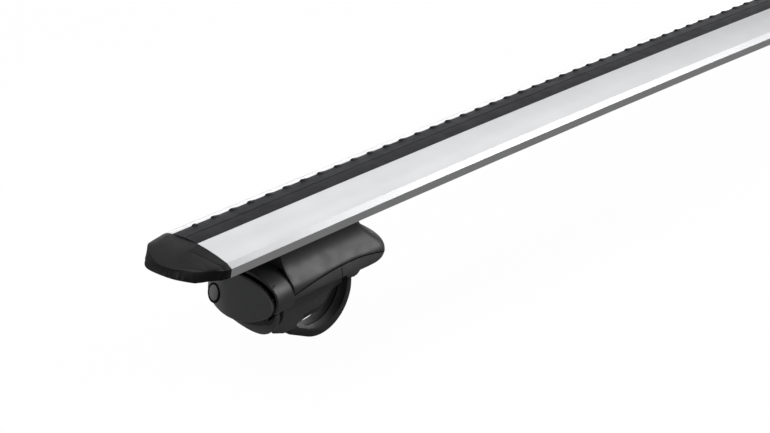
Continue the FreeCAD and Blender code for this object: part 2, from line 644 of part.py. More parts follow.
def plan_ring(z, half, x_in, nose, x_out=SEAM_X):
    """One level outline of the foot: straight sides and a half-ellipse at the inboard end."""
    start = x_in - nose
    centre = V(start, 0, z)
    curve = Part.Ellipse(centre + V(0, half, 0), centre + V(nose, 0, 0), centre)
    arc = Part.ArcOfEllipse(curve, -math.pi, 0).toShape()
    if arc.CenterOfMass.x < start:
        arc = Part.ArcOfEllipse(curve, 0, math.pi).toShape()
    sides = [Part.makeLine(V(x_out, -half, z), V(start, -half, z)), arc,
             Part.makeLine(V(start, half, z), V(x_out, half, z)),
             Part.makeLine(V(x_out, half, z), V(x_out, -half, z))]
    return Part.Wire(Part.__sortEdges__(sides))


def form_loft(form, inset=0.0, x_out=SEAM_X):
    """A solid through level outlines given as (z, half width, inboard end, nose length)."""
    rings = [plan_ring(z, half - inset, x_in - inset, max(nose - inset, 2.0), x_out) for z, half, x_in, nose in form]
    return Part.makeLoft(rings, True, False)


def above_seam():
    """Everything above the arched parting line between shell and body."""
    x, z = SEAM_CREST
    out = rod_y(x, z - SEAM_OUT_RADIUS, SEAM_OUT_RADIUS, -FAR, FAR)
    inn = rod_y(x, z - SEAM_IN_RADIUS, SEAM_IN_RADIUS, -FAR, FAR)
    below = out.common(block(-FAR, x, -FAR, FAR, -FAR, FAR)).fuse(inn.common(block(x, FAR, -FAR, FAR, -FAR, FAR)))
    return block(-FAR / 2, FAR / 2, -FAR / 2, FAR / 2, -FAR / 4, FAR / 2).cut(below)


def below_seam():
    return block(-FAR / 2, FAR / 2, -FAR / 2, FAR / 2, -FAR / 2, FAR / 2).cut(above_seam())


def bosses(z0, z1, radius):
    """Round posts or holes at the casing screws, on both sides."""
    posts = []
    for x, y in CASING_SCREWS:
        for side in (-1, 1):
            posts.append(rod_z(x, side * y, radius, z0, z1))
    return posts


def foot_shell():
    """The upper casing: a neck under the bar that widens to the bulged hood."""
    outer = form_loft(SHELL_FORM)
    inner = form_loft(SHELL_FORM, SHELL_WALL, SEAM_X - 1)
    roof = -BAR_PAD_THICKNESS - SHELL_TOP_WALL
    inner = inner.common(block(-FAR, FAR, -FAR, FAR, -FAR, roof))
    inner = inner.cut(block(-FAR, SEAM_X + NECK_WALL, -FAR, FAR, NECK_CLOSED_Z, FAR))
    shell = outer.cut(inner)
    shell = shell.common(above_seam())
    holes = [rod_z(x, 0, BOLT_HOLE_R, -20, 2) for x in BOLT_X]
    heads = bosses(screw_seat_z(), 2, CASING_SCREW_HEAD[0] + PLAIN_GAP)
    return shell.cut(holes + heads + bosses(-60, 2, CASING_SCREW_R))


def below_saddle():
    """The space under the arm and the saddle, where the rail and the strap are."""
    low = -120.0
    points = [(SADDLE[0][0], low)] + list(SADDLE) + [(23.4, -51.6), (80.0, -51.6), (80.0, low)]
    return slab(points, -FAR, FAR)


def foot_body():
    """The lower casting: tray and arm, a column on the outboard side, the saddle and the pivot cheeks."""
    outer = form_loft(BODY_FORM).cut(below_saddle())
    outer = outer.common(block(-FAR, FAR, -FAR, FAR, COLUMN_FLOOR_Z, FAR))
    cheek = slab(CHEEK, -CHEEK_HALF_WIDTH, CHEEK_HALF_WIDTH)
    body = outer.fuse(cheek)
    tray = form_loft(BODY_FORM, SHELL_WALL, SEAM_X - 1).common(block(-FAR, FAR, -FAR, FAR, TRAY_FLOOR_Z, FAR))
    body = body.cut(tray)
    roof = -BAR_PAD_THICKNESS - SHELL_TOP_WALL
    half = GEAR_HALF_WIDTH
    column_room = block(SEAM_X - 1, -27.0, -half, half, -100, -20)
    arm_room = block(-27.5, 44.5, -half, half, -51.0, -20)
    pivot_room = block(27.0, 60.0, -half, half, -80, -44)
    heel = slab(COLUMN_HEEL, -FAR, FAR)
    toe = slab(COLUMN_TOE, -FAR, FAR)
    body = body.cut([column_room, arm_room, pivot_room, heel, toe])
    body = body.common(below_seam()).fuse(bosses(TRAY_FLOOR_Z - 1, roof, BOSS_R))
    depth = screw_seat_z() - CASING_SCREW_LENGTH
    pin = rod_y(STRAP_PIVOT[0], STRAP_PIVOT[1], STRAP_PIN_R, -FAR, FAR)
    return body.cut(bosses(depth, 0, CASING_SCREW_R) + [pin])


def screw_seat_z():
    """Where the casing screws' heads bear, sunk into the hood's roof."""
    return -BAR_PAD_THICKNESS - CASING_SCREW_HEAD[1] - PLAIN_GAP


def rail_pad():
    """The rubber pad under the saddle that rests on the rail."""
    top = list(SADDLE)
    low = []
    for i, (x, z) in enumerate(top):
        a, b = top[max(i - 1, 0)], top[min(i + 1, len(top) - 1)]
        length = math.hypot(b[0] - a[0], b[1] - a[1])
        low.append((x + (b[1] - a[1]) / length * RAIL_PAD_THICKNESS, z - (b[0] - a[0]) / length * RAIL_PAD_THICKNESS))
    return slab(top + low[::-1], -RAIL_PAD_HALF_WIDTH, RAIL_PAD_HALF_WIDTH)


def polar(radius, degrees):
    """A point at a radius and angle about the strap's centre."""
    turn = math.radians(degrees)
    return STRAP_CENTRE[0] + radius * math.cos(turn), STRAP_CENTRE[1] + radius * math.sin(turn)


def on_run(distance, depth):
    """A point by the strap's straight run: how far along it, and how deep under the strap's outer face."""
    turn = math.radians(STRAP_STRAIGHT)
    x, z = polar(STRAP_OUTER_R - depth, STRAP_STRAIGHT)
    return x + math.sin(turn) * distance, z - math.cos(turn) * distance


def strap_sheet(r_in, r_out, half_width, start, run, shift=(0.0, 0.0)):
    """A bent sheet: an arc from the start angle to where it straightens, then a straight run outboard.

    The outer face may lie about a centre of its own, so that the sheet thickens along its length.
    """
    def at(radius, degrees, dx=0.0, dz=0.0):
        x, z = polar(radius, degrees)
        return V(x + dx, -half_width, z + dz)

    turn = math.radians(STRAP_STRAIGHT)
    along = V(math.sin(turn), 0, -math.cos(turn)) * run
    mid = (start + STRAP_STRAIGHT) / 2.0
    outer = [at(r_out, degrees, *shift) for degrees in (start, mid, STRAP_STRAIGHT)]
    inner = [at(r_in, degrees) for degrees in (STRAP_STRAIGHT, mid, start)]
    edges = [
        Part.Arc(*outer).toShape(),
        Part.makeLine(outer[2], outer[2] + along),
        Part.makeLine(outer[2] + along, inner[0] + along),
        Part.makeLine(inner[0] + along, inner[0]),
        Part.Arc(*inner).toShape(),
        Part.makeLine(inner[2], outer[0]),
    ]
    return Part.Face(Part.Wire(edges)).extrude(V(0, 2 * half_width, 0))


def strap_band():
    """The steel band inside the strap, with an eye on the inboard pin and a block at its outboard end."""
    middle = STRAP_OUTER_R - STRAP_THICKNESS / 2.0
    r_in, r_out = middle - STRAP_BAND_THICKNESS / 2.0, middle + STRAP_BAND_THICKNESS / 2.0
    half = STRAP_BAND_WIDTH / 2.0
    band = strap_sheet(r_in, r_out, half, STRAP_START + 2.0, BAND_RUN)
    top = polar(middle, STRAP_START + 1.0)
    eye = capsule(STRAP_PIVOT, (top[0] + 0.2, top[1]), 1.6, -half, half)
    eye = eye.fuse(rod_y(STRAP_PIVOT[0], STRAP_PIVOT[1], STRAP_EYE_R, -STRAP_EYE_HALF_WIDTH, STRAP_EYE_HALF_WIDTH))
    root = [on_run(*place) for place in END_BLOCK_ROOT]
    tail = slab(root + list(END_BLOCK), -END_BLOCK_HALF_WIDTH, END_BLOCK_HALF_WIDTH)
    band = band.fuse([eye, tail])
    band = band.cut(rod_y(STRAP_PIVOT[0], STRAP_PIVOT[1], STRAP_PIN_R + RUN_GAP, -FAR, FAR))
    return band.cut(rod_y(CROSS_PIN[0], CROSS_PIN[1], CROSS_PIN_R, -FAR, FAR)).removeSplitter()


def strap_sleeve():
    """The rubber sleeve moulded round the band, with a slit along the inside."""
    r_in = STRAP_OUTER_R - STRAP_THICKNESS
    half = STRAP_WIDTH / 2.0
    sleeve = strap_sheet(r_in, SLEEVE_R, half, STRAP_START, SLEEVE_RUN, SLEEVE_SHIFT)
    width, depth, first, last = STRAP_SLIT
    fan = [(STRAP_CENTRE[0], STRAP_CENTRE[1])] + [polar(60.0, first + (last - first) * i / 4.0) for i in range(5)]
    groove = rod_y(STRAP_CENTRE[0], STRAP_CENTRE[1], r_in + depth, -width / 2, width / 2)
    sleeve = sleeve.cut(groove.common(slab(fan, -width, width)))
    root = [on_run(*place) for place in SLEEVE_STOP_ROOT]
    sleeve = sleeve.fuse(slab(root + list(SLEEVE_STOP_END), -half, half))
    return sleeve.cut(strap_band())


def strap_pin():
    """The inboard pivot pin of the strap, pressed into the cheeks."""
    return rod_y(STRAP_PIVOT[0], STRAP_PIVOT[1], STRAP_PIN_R, -CHEEK_HALF_WIDTH + 1.0, CHEEK_HALF_WIDTH - 1.0)


def cross_pin():
    """The pin through the strap's outboard block, which the cranks lift."""
    return rod_y(CROSS_PIN[0], CROSS_PIN[1], CROSS_PIN_R, -CROSS_PIN_HALF, CROSS_PIN_HALF)


def chassis():
    """The steel channel inside the foot: clamped to the bar, it carries both pivots and the screw."""
    half = CHASSIS_HALF_WIDTH
    solid = slab(CHASSIS_OUTLINE, -half, half)
    inner_half = half - CHASSIS_STEEL
    roof = -BAR_PAD_THICKNESS - SHELL_TOP_WALL - CHASSIS_TOP_WALL
    room = block(CHASSIS_FRONT_X + CHASSIS_FRONT_WALL, FAR, -inner_half, inner_half, -FAR, roof)
    steel = solid.cut(room)
    cuts = [rod_z(x, 0, BOLT_HOLE_R, -20, 0) for x in BOLT_X]
    cuts.append(rod_y(STRAP_PIVOT[0], STRAP_PIVOT[1], STRAP_PIN_R, -FAR, FAR))
    cuts.append(rod_y(CRANK_PIVOT[0], CRANK_PIVOT[1], CRANK_PIN_R, -FAR, FAR))
    cuts.append(rod_x(0, SCREW_Z, SCREW_R + RUN_GAP, CHASSIS_FRONT_X - 1, -60))
    return steel.cut(cuts)


def crank_pin():
    """The pivot pin of the two cranks, pressed into the channel's sides."""
    return rod_y(CRANK_PIVOT[0], CRANK_PIVOT[1], CRANK_PIN_R, -CHASSIS_HALF_WIDTH, CHASSIS_HALF_WIDTH)


def crank():
    """The pair of bell-crank plates, joined by a tube round their pivot pin."""
    inner, outer = CRANK_CHEEKS
    nut = (NUT_X, SCREW_Z)
    long_end = (NUT_X, SCREW_Z - 1.0)
    short_end = (CROSS_PIN[0] - 1.0, CROSS_PIN[1])
    plates = []
    for y0, y1 in ((-outer, -inner), (inner, outer)):
        plate = capsule(CRANK_PIVOT, long_end, CRANK_R, y0, y1).fuse(capsule(CRANK_PIVOT, short_end, CRANK_SHORT_R, y0, y1))
        plates.append(plate)
    tube = rod_y(CRANK_PIVOT[0], CRANK_PIVOT[1], CRANK_R - 1.2, -outer, outer)
    both = plates[0].fuse([plates[1], tube])
    stub = NUT_STUB_R + CRANK_SLOT_GAP
    cuts = [capsule((nut[0], nut[1] - 2.4), (nut[0], nut[1] + 8), stub, -outer - 1, outer + 1),
            capsule(CROSS_PIN, (CROSS_PIN[0] - CROSS_PIN_DRIFT[0], CROSS_PIN[1] + CROSS_PIN_DRIFT[1]),
                    CROSS_PIN_R + CRANK_SLOT_GAP, -outer - 1, outer + 1),
            rod_y(CRANK_PIVOT[0], CRANK_PIVOT[1], CRANK_PIN_R + RUN_GAP, -FAR, FAR)]
    return both.cut(cuts)


def hexagon(across, length, x, y, z, direction):
    """A hexagonal bar from a point along a direction, given across its flats."""
    radius = across / math.sqrt(3.0)
    corners = []
    for i in range(7):
        turn = math.radians(60 * i)
        a, b = radius * math.cos(turn), radius * math.sin(turn)
        corners.append(V(x, y + a, z + b) if direction.x else V(x + a, y + b, z))
    return Part.Face(Part.makePolygon(corners)).extrude(direction * length)


def tension_screw():
    """The screw that the user turns with a hexagon key: head, plain shank with a collar, thread."""
    head_r, head_length = SCREW_HEAD
    collar_r, collar_length = SCREW_COLLAR
    head_x = CHASSIS_FRONT_X - PLAIN_GAP - head_length
    inner = CHASSIS_FRONT_X + CHASSIS_FRONT_WALL + PLAIN_GAP
    shank = rod_x(0, SCREW_Z, SCREW_R, head_x, SCREW_END_X)
    screw = shank.fuse([rod_x(0, SCREW_Z, head_r, head_x, head_x + head_length),
                        rod_x(0, SCREW_Z, collar_r, inner, inner + collar_length)])
    across, depth = HEX_SOCKET
    return screw.cut(hexagon(across, depth + 1, head_x - 1, 0, SCREW_Z, X_AXIS))


def tension_nut():
    """The cross nut that the screw draws outboard, with a stub on each side for the cranks."""
    body = rod_y(NUT_X, SCREW_Z, NUT_R, -NUT_HALF, NUT_HALF)
    nut = body.fuse(rod_y(NUT_X, SCREW_Z, NUT_STUB_R, -NUT_STUB_HALF, NUT_STUB_HALF))
    return nut.cut(rod_x(0, SCREW_Z, SCREW_R + RUN_GAP, NUT_X - 20, NUT_X + 20))


def clamp_bolts():
    """The two T-bolts that hang in the bar's lower slot."""
    bolts = []
    for x in BOLT_X:
        length, width, height = T_HEAD
        head = block(x - length / 2, x + length / 2, -width / 2, width / 2, LOWER_LIP, LOWER_LIP + height)
        bolts.append(head.fuse(rod_z(x, 0, BOLT_R, LOWER_LIP - BOLT_LENGTH, LOWER_LIP + 1)))
    return Part.Compound(bolts)


def clamp_nuts():
    """Washers and nuts that draw the channel up under the bar."""
    roof = -BAR_PAD_THICKNESS - SHELL_TOP_WALL - CHASSIS_TOP_WALL
    pieces = []
    for x in BOLT_X:
        washer = rod_z(x, 0, WASHER_R, roof - WASHER_HEIGHT, roof)
        nut = hexagon(NUT_ACROSS, NUT_HEIGHT, x, 0, roof - WASHER_HEIGHT - NUT_HEIGHT, Z_AXIS)
        pieces.append(washer.fuse(nut).cut(rod_z(x, 0, BOLT_R, -60, 10)))
    return Part.Compound(pieces)


def casing_screws():
    """The screws that hold the hood to the body, driven from above."""
    seat = screw_seat_z()
    head_r, head_height = CASING_SCREW_HEAD
    screws = []
    for x, y in CASING_SCREWS:
        for side in (-1, 1):
            head = rod_z(x, side * y, head_r, seat, seat + head_height)
            screws.append(head.fuse(rod_z(x, side * y, CASING_SCREW_R, seat - CASING_SCREW_LENGTH, seat + 1)))
    return Part.Compound(screws)


def bar_pad():
    """The thin rubber pad between the neck and the bar's underside."""
    z, half, x_in, nose = SHELL_FORM[0]
    pad = Part.Face(plan_ring(z, half - 1.0, x_in - 1.0, nose, SEAM_X + 1.0)).extrude(V(0, 0, -z - PAD_SAG_ROOM))
    return pad.cut([rod_z(x, 0, BOLT_HOLE_R, -20, 2) for x in BOLT_X])


# cover group, drawn upright: x = 0 at the face's middle and outwards is -x

def tilted(shape):
    """Takes an upright shape to its leaning place on the foot."""
    placed = shape.copy()
    placed.rotate(ORIGIN, Y_AXIS, COVER_TILT)
    placed.translate(V(COVER_CENTRE[0], 0, COVER_CENTRE[1]))
    return placed


def oval(x, half_y, half_z, y=0.0, z=0.0):
    """An upright ellipse in a plane of constant x."""
    centre = V(x, y, z)
    return Part.Wire(Part.Ellipse(centre + V(0, half_y, 0), centre + V(0, 0, half_z), centre).toShape())


def bow(depth):
    """The solid behind the bowed face, starting at a depth behind it."""
    return rod_z(COVER_BOW_RADIUS, 0, COVER_BOW_RADIUS - depth, -FAR, FAR)


def bow_x(y):
    """How far the bowed face has gone back at a given y."""
    return COVER_BOW_RADIUS - math.sqrt(COVER_BOW_RADIUS ** 2 - y ** 2)


def hinge_line():
    """The x of the cover's hinge axis."""
    return bow_x(HINGE_Y) + HINGE_DEPTH


def on_bow(shape):
    """Turns a shape drawn at the middle of the face round the bow to the lock's place."""
    placed = shape.copy()
    placed.rotate(V(COVER_BOW_RADIUS, 0, 0), Z_AXIS, -math.degrees(math.asin(LOCK_Y / COVER_BOW_RADIUS)))
    return placed


def oval_cover():
    """The bowed oval cover with its hinge barrel and the hole for the lock."""
    plate = Part.Face(oval(-30, COVER_HALF_WIDTH, COVER_HALF_HEIGHT)).extrude(V(80, 0, 0))
    plate = plate.common(bow(0.0).common(block(-30, 60, -FAR, FAR, -FAR, FAR)))
    rim = [e for e in plate.Edges if e.BoundBox.XMax < 15 and e.BoundBox.YLength > 10]
    plate = plate.makeFillet(COVER_EDGE_ROUND, rim)
    plate = plate.cut(bow(COVER_THICKNESS))
    x = hinge_line()
    reach = HINGE_HALF_LENGTH
    barrel = rod_z(x, HINGE_Y, HINGE_BARREL_R, HINGE_UP - reach, HINGE_UP + reach)
    web = block(x - 2.0, x, HINGE_Y - HINGE_BARREL_R, HINGE_Y + HINGE_BARREL_R, HINGE_UP - reach, HINGE_UP + reach)
    plate = plate.fuse([barrel, web.common(bow(1.0))])
    notch = HINGE_BARREL_R + PLAIN_GAP
    for side in (-1, 1):
        z0, z1 = sorted((HINGE_UP + side * reach, HINGE_UP + side * (HINGE_PIN_HALF_LENGTH + PLAIN_GAP)))
        plate = plate.cut(rod_z(x, HINGE_Y, notch, z0, z1))
        plate = plate.cut(block(x - HINGE_NOTCH, x + 4, HINGE_Y - 6, HINGE_Y, z0, z1))
    plate = plate.cut(rod_z(x, HINGE_Y, HINGE_PIN_R + RUN_GAP, -FAR, FAR))
    bore = on_bow(rod_x(0, LOCK_UP, LOCK_RING_R, -10, 20))
    return tilted(plate.cut(bore))


def lock_ring():
    """The dark ring pressed into the cover round the lock."""
    ring = rod_x(0, LOCK_UP, LOCK_RING_R, -LOCK_RING_PROUD, COVER_THICKNESS)
    ring = ring.cut(rod_x(0, LOCK_UP, LOCK_R + RUN_GAP, -10, 30))
    return tilted(on_bow(ring))


def lock_barrel():
    """The lock barrel with a flat tongue behind the cover."""
    wide, reach, thick = LOCK_CAM
    barrel = rod_x(0, LOCK_UP, LOCK_R, -LOCK_PROUD, LOCK_LENGTH)
    key = block(-LOCK_PROUD - 1, 2.5, -0.6, 0.6, LOCK_UP - 3.2, LOCK_UP + 3.2)
    stub = rod_x(0, LOCK_UP, wide * 0.8, LOCK_LENGTH - 1, LOCK_LENGTH + thick + 1.5)
    cam = block(LOCK_LENGTH + 1.0, LOCK_LENGTH + 1.0 + thick, -wide, wide, LOCK_UP - wide, LOCK_UP + reach)
    return tilted(on_bow(barrel.cut(key).fuse([stub, cam])))


def cover_pin():
    """The cover's hinge pin."""
    return tilted(rod_z(hinge_line(), HINGE_Y, HINGE_PIN_R, HINGE_UP - HINGE_PIN_HALF_LENGTH,
                        HINGE_UP + HINGE_PIN_HALF_LENGTH))


def collar_loft(rim, seam, shift):
    """A solid from the parting plane of the foot out past the tilted face."""
    front = tilted(oval(-8.0, rim[0], rim[1], shift))
    back = oval(SEAM_X, seam[0], seam[1], 0.0, COLLAR_SEAM_Z)
    return Part.makeLoft([back, front], True, True)


def collar():
    """The frame between hood and cover, with two lugs for the cover's hinge pin."""
    outer = collar_loft(COLLAR_RIM_SIZE, COLLAR_SEAM_SIZE, 0.0)
    seam = (COLLAR_SEAM_SIZE[0] - COLLAR_WALL, COLLAR_SEAM_SIZE[1] - COLLAR_WALL)
    inner = collar_loft(COLLAR_OPENING, seam, COLLAR_OPENING_SHIFT)
    room = tilted(bow(COLLAR_RIM_BACK))
    frame = outer.cut(inner).common(room).common(block(-FAR, SEAM_X, -FAR, FAR, COLLAR_END_Z, FAR))
    x = hinge_line()
    grown = Part.Face(oval(-30, COVER_HALF_WIDTH + COVER_ROOM, COVER_HALF_HEIGHT + COVER_ROOM)).extrude(V(80, 0, 0))
    middle, tail = SWING_ROOM
    swing = [rod_z(x, HINGE_Y, middle, HINGE_UP - HINGE_HALF_LENGTH, HINGE_UP + HINGE_HALF_LENGTH),
             rod_z(x, HINGE_Y, tail, -COVER_HALF_HEIGHT / 2, HINGE_UP)]
    frame = frame.cut([tilted(grown.cut(bow(COVER_THICKNESS + COVER_ROOM)))] + [tilted(rod) for rod in swing])
    lugs = []
    for side in (-1, 1):
        z0, z1 = sorted((HINGE_UP + side * (HINGE_HALF_LENGTH + PLAIN_GAP), HINGE_UP + side * HINGE_PIN_HALF_LENGTH))
        lug = rod_z(x, HINGE_Y, HINGE_BARREL_R, z0, z1)
        stem = block(x, x + HINGE_ARM[1], HINGE_Y - 0.7, HINGE_Y + HINGE_BARREL_R, z0, z1)
        arm = block(x + HINGE_ARM[0], x + HINGE_ARM[1], HINGE_Y - 8.0, HINGE_Y + HINGE_BARREL_R, z0, z1)
        lugs.append(tilted(lug.fuse([stem, arm])).common(outer))
    frame = frame.fuse(lugs)
    return frame.cut(tilted(rod_z(x, HINGE_Y, HINGE_PIN_R, -FAR, FAR)))


def chin_ring(x, far_side, lock_side, depth):
    """A U-shaped section of the chin, squarer on the side away from the lock."""
    low, top = CHIN_CENTRE_Z - depth, CHIN_CENTRE_Z + CHIN_SIDE_RISE
    edges = []
    for side, full in zip((-far_side, lock_side), CHIN_FULLNESS):
        poles = [V(x, side, CHIN_CENTRE_Z), V(x, side, CHIN_CENTRE_Z - depth * full),
                 V(x, CHIN_LOW_Y + (side - CHIN_LOW_Y) * (1.0 - full), low), V(x, CHIN_LOW_Y, low)]
        curve = Part.BezierCurve()
        curve.setPoles(poles)
        edges.append(curve.toShape())
    rim = [V(x, -far_side, CHIN_CENTRE_Z), V(x, -far_side, top), V(x, lock_side, top), V(x, lock_side, CHIN_CENTRE_Z)]
    return Part.Wire(Part.__sortEdges__(edges + Part.makePolygon(rim).Edges))


def chin_solid(inset=0.0):
    """The chin's form before it is hollowed and trimmed."""
    rings = [chin_ring(x, far - inset, lock - inset, depth - inset) for x, far, lock, depth in CHIN_FORM]
    return Part.makeLoft(rings, True, False)


def chin():
    """The hollow casing below the cover, open at the back and at the top."""
    form = chin_solid().common(tilted(bow(COVER_THICKNESS + CHIN_COVER_GAP)))
    inner = chin_solid(CHIN_WALL).common(tilted(bow(COVER_THICKNESS + CHIN_COVER_GAP + CHIN_WALL)))
    (x0, z0), (x1, z1) = CHIN_BACK
    k = (x1 - x0) / (z1 - z0)
    behind = slab([(x0 + k * (0 - z0), 0), (FAR, 0), (FAR, -140), (x0 + k * (-140 - z0), -140)], -FAR, FAR)
    above = block(-FAR, FAR, -FAR, FAR, COLLAR_END_Z, FAR)
    clear = [tilted(on_bow(rod_x(step, LOCK_UP, LOCK_R + LOCK_ROOM, -10, 30))) for step in (0.0, 0.9, 1.8)]
    x = hinge_line()
    clear += [tilted(rod_z(x, HINGE_Y, SWING_ROOM[0], -HINGE_PIN_HALF_LENGTH, 20)),
              tilted(rod_z(x, HINGE_Y, SWING_ROOM[1], -CHIN_SWING_DROP, 0)),
              tilted(block(x, x + HINGE_ARM[1] + PLAIN_GAP, HINGE_Y - 8.0, HINGE_Y + HINGE_BARREL_R + PLAIN_GAP,
                           HINGE_UP - HINGE_PIN_HALF_LENGTH - PLAIN_GAP, 20)),
              rod_x(0, SCREW_Z, SCREW_HEAD[0] + 1.2, -120, SEAM_X)]
    return form.cut(inner).cut(behind).cut(above).cut(clear)


FOOT_PIECES = {
    "shell": foot_shell,
    "body": foot_body,
    "rail_pad": rail_pad,
    "bar_pad": bar_pad,
    "strap_band": strap_band,
    "strap_sleeve": strap_sleeve,
    "strap_pin": strap_pin,
    "strap_cross_pin": cross_pin,
    "chassis": chassis,
    "crank": crank,
    "crank_pin": crank_pin,
    "tension_screw": tension_screw,
    "tension_nut": tension_nut,
    "clamp_bolts": clamp_bolts,
    "clamp_nuts": clamp_nuts,
    "casing_screws": casing_screws,
    "collar": collar,
    "chin": chin,
    "oval_cover": oval_cover,
    "cover_pin": cover_pin,
    "lock_ring": lock_ring,
    "lock_barrel": lock_barrel,
}
CAP_PIECES = {"cap_base": cap_base, "cap_flap": cap_flap, "cap_pin": cap_pin}
BAR_PIECES = {"bar_extrusion": lambda: to_part(bar_extrusion()), "top_strip": top_strip,
              "lower_slot_infill": lower_infill}


def main():
    os.makedirs("parts", exist_ok=True)
    pieces = {}
    for name, make in BAR_PIECES.items():
        pieces[name] = make()
    for group, place in ((CAP_PIECES, place_end), (FOOT_PIECES, place_foot)):
        for name, make in group.items():
            shape = make()
            for side, word in ((-1, "left"), (1, "right")):
                pieces["%s_%s" % (word, name)] = place(shape, side)
    for name, shape in pieces.items():
        shape.exportStep("parts/%s.step" % name)
        if not name.startswith("right_"):
            print(name, len(shape.Solids), shape.isValid(), round(shape.Volume / 1000.0, 2))


if __name__ == "__main__":
    main()
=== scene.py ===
"""Looks for the roof rack crossbar: camera, light, materials and finer pieces on the CAD frame.

Measures are metres in the shared frame. The points of a foot, a cover or a cap are given in the frame of
that part, whose x runs along the bar, inwards, and whose z runs upwards. A pair of values that a change
fades in between is named for its direction: along, across or up.
"""
import json
import math

import bmesh
import bpy
from mathutils import Matrix, Vector


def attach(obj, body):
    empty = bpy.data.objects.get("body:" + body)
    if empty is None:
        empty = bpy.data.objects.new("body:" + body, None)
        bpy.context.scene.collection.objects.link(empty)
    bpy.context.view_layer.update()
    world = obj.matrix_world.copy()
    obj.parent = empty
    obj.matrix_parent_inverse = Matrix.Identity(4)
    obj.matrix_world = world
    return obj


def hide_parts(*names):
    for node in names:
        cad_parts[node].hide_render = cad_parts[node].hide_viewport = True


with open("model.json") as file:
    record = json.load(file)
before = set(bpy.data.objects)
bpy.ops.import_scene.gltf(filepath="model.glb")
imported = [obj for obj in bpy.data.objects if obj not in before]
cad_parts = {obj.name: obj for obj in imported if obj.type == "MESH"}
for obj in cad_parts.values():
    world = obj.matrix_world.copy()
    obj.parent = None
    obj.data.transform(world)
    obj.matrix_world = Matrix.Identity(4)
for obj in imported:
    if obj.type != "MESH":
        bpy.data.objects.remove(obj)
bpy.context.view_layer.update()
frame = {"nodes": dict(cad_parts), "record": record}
nodes = frame["nodes"]

SIDES = ("left", "right")

# camera: its place, how far it looks down, its heading, its focal length and sensor in mm, its far limit
CAMERA_AT = Vector((-1.6206, -1.1641, 0.8031))
CAMERA_DOWN = math.radians(22.808)
CAMERA_HEADING = math.radians(42.246)
CAMERA_LENS = 104.74
CAMERA_SENSOR = 36.0
CAMERA_FAR = 60.0

# backdrop: the share of plain white that the camera sees and that gloss mirrors on floor and sky, and the
# grey that the lamps' light meets
WHITE_SEEN = 0.975
FLOOR_GLOSS = 0.13
FLOOR_BOUNCE = 0.16
FLOOR_PAINT = 0.9
FLOOR_ROUGH = 0.9
FLOOR_HALF = 12.0
SKY_GLOSS = 0.28
SKY_LEVEL = 0.08
SKY_COLOUR = (0.9, 0.92, 0.95, 1)

# lamps: name, place, point aimed at, size, power in watts
LAMPS = (
    ("top", (0.9, 1.0, 1.8), (0, 0, 0.1), (3.4, 1.6), 17.0),
    ("shoulder", (0.95, -1.0, 1.25), (-0.4, 0, 0.1), (1.5, 0.9), 21.0),
    ("rear", (2.0, 2.3, 0.55), (-0.1, 0, 0.1), (2.6, 0.8), 16.0),
    ("face", (-1.5, 0.3, 1.5), (-0.45, 0, 0.05), (0.8, 0.8), 22.0),
)

# materials: the part of the noise that spans two colours, and the strength of the grain
NOISE_LOW = 0.3
NOISE_HIGH = 0.7
GRAIN_STRENGTH = 0.5

# meshes: distances below which points are one, on a CAD piece, on a changed or joined mesh and along a cut;
# angles in degrees
MERGE_DISTANCE = 0.000004
WELD_DISTANCE = 0.00001
CUT_DISTANCE = 0.000001
FLAT_ANGLE = 0.6
SHARP_ANGLE = 28.0
BAND_SHARP_ANGLE = 40.0
SMOOTH_ANGLE = 32.0

# width of the rounding on the sharp edges of each piece
ROUNDING = {
    "shell": 0.0006, "cap_base": 0.0004, "rail_pad": 0.0005, "lock_ring": 0.0003, "lock_barrel": 0.0002,
    "oval_cover": 0.0003, "cap_flap": 0.0004, "body": 0.0006, "chin": 0.0008, "strap_sleeve": 0.0006,
    "collar": 0.0003, "strip_fins": 0.00035, "skirt": 0.0004, "seam_shadow_strip": 0.0001,
}

# the bar's arch, and the places of feet and ends along it
ARCH_RADIUS = 33.5
BAR_HALF = 0.5565
CREST = Vector((0, 0.0096, 0.12613))
FOOT_TURN = math.radians(0.7303)
FOOT_DROP = Vector((0, -0.008, -0.022))
END_TURN = math.radians(0.9518)

# oval cover: its place on the foot, the radius of its bow, and how far its upper and lower edges go out
COVER_AT = Vector((-0.0872, 0, -0.0407))
COVER_TILT = math.radians(13.06)
COVER_BOW = 0.128
COVER_HALF_HEIGHT = 0.01745
COVER_TALLER = 0.085
COVER_TALLER_ACROSS = (-0.034, -0.026)
COVER_TALLER_UP = (0.006, 0.013)
COVER_DEEPER = 0.035
COVER_DEEPER_ACROSS = (-0.031, -0.018)

# drill hole of the cover's pin in the collar: its middle, its radius, and the heights above which its inner
# and its outer rim lie
PIN_HOLE_AT = (0.00787, -0.0328)
PIN_HOLE_RADIUS = 0.00105
PIN_HOLE_INNER = 0.0115
PIN_HOLE_OUTER = 0.0146

# domed face of the lock: its place on the cover, its radius, the height of its dome, how far it stands out
LOCK_SIDE = 0.0255
LOCK_UP = -0.0038
LOCK_RADIUS = 0.0062
LOCK_DOME = 0.0007
LOCK_PROUD = 0.0003
LOCK_FACETS = (48, 24)

# fins on the strip: the first one's distance from the bar's end, their size at the foot, the share of length
# and width left at the top, the top's shift as a share of the size, and how deep they sit in the strip
STRIP_EDGE = 0.01385
FIN_FIRST = 0.0228
FIN_PITCH = 0.020
FIN_COUNT = 54
FIN_SIZE = (0.0085, 0.0046, 0.0022)
FIN_TOP = (0.24, 0.6)
FIN_LEAN = (-0.08, 0.2)
FIN_SINK = 0.0008

# parting line between hood and body: its highest point and the radii of its two arcs
SEAM_CREST = (0.009, -0.0296)
SEAM_OUTER_RADIUS = 0.303
SEAM_INNER_RADIUS = 0.145
# width of the groove at the parting line, kept free above the skirt and filled by a black strip of painted
# shade
SEAM_GROOVE = 0.0010

